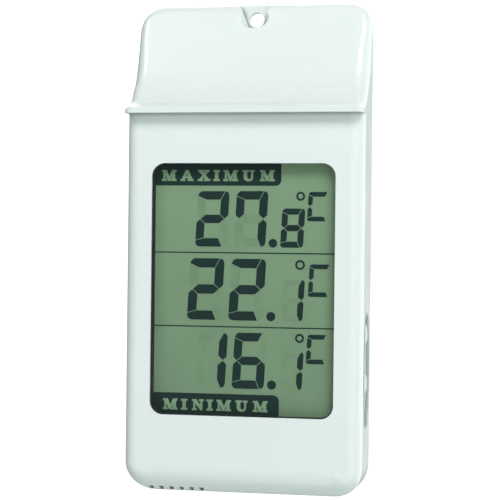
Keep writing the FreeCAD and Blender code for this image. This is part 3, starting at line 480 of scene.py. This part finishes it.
def make_picture():
    """All that the display shows: figures, unlit segments, bands and letters."""
    dark = ink("crystal_ink", LCD_INK)
    faint = ink("crystal_faint", tinted(LCD_GREEN, 0.88))
    pale = ink("crystal_clear", tinted(LCD_GREEN, 1.05))
    lit, unlit = [], []
    for row in ROWS:
        for sign, *place in row["large"] + [row["small"]]:
            lit += numeral(sign, *place)
            unlit += numeral(sign, *place, shown=False)
        lit += numeral(*row["unit"])
        lit.append([disc(*row["point"])])
        x, height, outer, inner = row["ring"]
        lit.append([disc(x, height, outer), disc(x, height, inner)])
    for height in DIVIDERS:
        low, high = height - DIVIDER_THICK / 2, height + DIVIDER_THICK / 2
        lit.append([[(LINE_LEFT, low), (LINE_RIGHT, low), (LINE_RIGHT, high), (LINE_LEFT, high)]])
    printed("display_figures", lit, FILM_DEPTH, INK_THICK, dark)
    printed("display_unlit_segments", unlit, FILM_DEPTH, INK_THICK * UNLIT_SHARE, faint)
    printed("maximum_banner", [banner(MAXIMUM_LOW, MAXIMUM_HIGH, True)], FILM_DEPTH, INK_THICK,
            dark)
    printed("minimum_banner", [banner(MINIMUM_LOW, MINIMUM_HIGH, False)], FILM_DEPTH, INK_THICK,
            dark)
    over_ink = FILM_DEPTH + INK_THICK
    printed("maximum_letters", words(MAXIMUM_LINE, MAXIMUM_FOOT), over_ink, LETTER_THICK, pale)
    printed("minimum_letters", words(MINIMUM_LINE, MINIMUM_FOOT), over_ink, LETTER_THICK, pale)


make_picture()


# ---------------------------------------------------------------- camera, lights and stage

CENTRE = (0, 75, 12)

SENSOR = 36
# In picture widths: the focal length, and how far the centre is from the picture's middle.
FOCAL_PICTURES = 3.404
AIM_OFF = (-0.0034, 0.0064)
CAMERA_DISTANCE = 520
CAMERA_AZIMUTH, CAMERA_ROLL = 11.92, 0.64

# The floor and its wall, in metres.
FLOOR_DROP, FLOOR_REACH, FLOOR_CURVE, WALL_RISE = 0.4, 2.2, 0.8, 5.0
FLOOR_STEPS = 64

# A faint cool tint for the room and for the lights that face the front.
COOL = (0.91, 0.99, 0.97)
ROOM_ABOVE, ROOM_BELOW = 0.1, 0.32

# Softboxes: name, azimuth off the front, elevation, distance, width, height, power and tint.
WHITE = (1, 1, 1)
SOFTBOXES = [
    ("left_softbox", -46, 43, 1.0, 0.42, 0.36, 3.1, WHITE),
    ("right_softbox", 33, 43, 1.0, 0.42, 0.36, 5.6, WHITE),
    ("front_softbox", 28, 0, 1.2, 1.4, 1.4, 3.2, COOL),
    ("side_softbox", 130, 0, 1.0, 1.5, 1.5, 9.7, WHITE),
    ("low_softbox", 25, -50, 1.0, 0.8, 0.8, 3.8, COOL),
    ("rear_softbox", 190, 35, 1.0, 0.8, 0.8, 4.0, WHITE),
]


def place_camera():
    """The camera, level and a little round to the right flank."""
    azimuth, roll = math.radians(CAMERA_AZIMUTH), math.radians(CAMERA_ROLL)
    back = Vector((math.sin(azimuth), -math.cos(azimuth), 0))
    level_right = Vector((math.cos(azimuth), math.sin(azimuth), 0))
    level_up = back.cross(level_right)
    right = level_right * math.cos(roll) + level_up * math.sin(roll)
    up = level_up * math.cos(roll) - level_right * math.sin(roll)
    data = bpy.data.cameras.new("camera")
    data.sensor_width = SENSOR
    data.lens = SENSOR * FOCAL_PICTURES
    data.clip_start, data.clip_end = 0.01, 30
    camera = bpy.data.objects.new("camera", data)
    bpy.context.scene.collection.objects.link(camera)
    camera.location = to_frame(*CENTRE) + back * CAMERA_DISTANCE * MM
    # The centre sits a little beside the picture's middle, so the line of sight is turned.
    look = (-back - right * AIM_OFF[0] / FOCAL_PICTURES
            - up * AIM_OFF[1] / FOCAL_PICTURES).normalized()
    side = look.cross(up).normalized()
    camera.rotation_mode = "QUATERNION"
    turn = Matrix((side, side.cross(look), -look)).transposed()
    camera.rotation_quaternion = turn.to_quaternion()
    bpy.context.scene.camera = camera


def softbox(name, azimuth, elevation, distance, width, height, power, tint):
    """A soft rectangular light that faces the thermometer from an azimuth off its front."""
    data = bpy.data.lights.new(name, "AREA")
    data.color = tint
    data.shape = "RECTANGLE"
    data.size, data.size_y = width, height
    data.energy = power
    lamp = bpy.data.objects.new(name, data)
    bpy.context.scene.collection.objects.link(lamp)
    around, above = math.radians(azimuth), math.radians(elevation)
    out = Vector((math.sin(around) * math.cos(above), -math.cos(around) * math.cos(above),
                  math.sin(above)))
    lamp.location = to_frame(*CENTRE) + out * distance
    lamp.rotation_mode = "QUATERNION"
    lamp.rotation_quaternion = (-out).to_track_quat("-Z", "Y")


def make_world():
    """A dim room, brighter underfoot than overhead."""
    world = bpy.data.worlds.new("studio")
    world.use_nodes = True
    tree = world.node_tree
    coords = tree.nodes.new("ShaderNodeTexCoord")
    split = tree.nodes.new("ShaderNodeSeparateXYZ")
    tree.links.new(coords.outputs["Generated"], split.inputs["Vector"])
    fade = tree.nodes.new("ShaderNodeMapRange")
    fade.interpolation_type = "SMOOTHSTEP"
    fade.inputs["From Min"].default_value = -0.5
    fade.inputs["From Max"].default_value = 0.5
    fade.inputs["To Min"].default_value = ROOM_BELOW
    fade.inputs["To Max"].default_value = ROOM_ABOVE
    tree.links.new(split.outputs["Z"], fade.inputs["Value"])
    background = tree.nodes["Background"]
    background.inputs["Color"].default_value = (*COOL, 1)
    tree.links.new(fade.outputs["Result"], background.inputs["Strength"])
    bpy.context.scene.world = world


def make_stage():
    """A plain white floor that curves up into a wall all round, far from the thermometer."""
    low = CAD_BOX[0].z - FLOOR_DROP
    outline = [(FLOOR_REACH, low)]
    for angle in range(10, 91, 10):
        along, rise = math.sin(math.radians(angle)), 1 - math.cos(math.radians(angle))
        outline.append((FLOOR_REACH + FLOOR_CURVE * along, low + FLOOR_CURVE * rise))
    outline.append((FLOOR_REACH + FLOOR_CURVE, low + WALL_RISE))
    steps = FLOOR_STEPS
    points = [(0, 0, low)]
    for reach, height in outline:
        points += [(reach * math.cos(2 * math.pi * i / steps),
                    reach * math.sin(2 * math.pi * i / steps), height) for i in range(steps)]
    faces = [(0, 1 + i, 1 + (i + 1) % steps) for i in range(steps)]
    for ring in range(len(outline) - 1):
        low_ring, high_ring = 1 + ring * steps, 1 + (ring + 1) * steps
        faces += [(low_ring + i, low_ring + (i + 1) % steps, high_ring + (i + 1) % steps,
                   high_ring + i) for i in range(steps)]
    mesh = bpy.data.meshes.new("studio_floor")
    mesh.from_pydata(points, [], faces)
    mesh.polygons.foreach_set("use_smooth", [True] * len(faces))
    paper, _, shader = new_material("studio_paper")
    shader.inputs["Base Color"].default_value = (0.9, 0.9, 0.9, 1)
    shader.inputs["Emission Color"].default_value = (1, 1, 1, 1)
    shader.inputs["Emission Strength"].default_value = 1.0
    mesh.materials.append(paper)
    floor = bpy.data.objects.new("studio_floor", mesh)
    bpy.context.scene.collection.objects.link(floor)
    floor.visible_diffuse = False
    floor.visible_glossy = False
    floor.visible_shadow = False


bpy.context.scene.view_settings.view_transform = "Standard"
place_camera()
make_stage()
make_world()
for box in SOFTBOXES:
    softbox(*box)
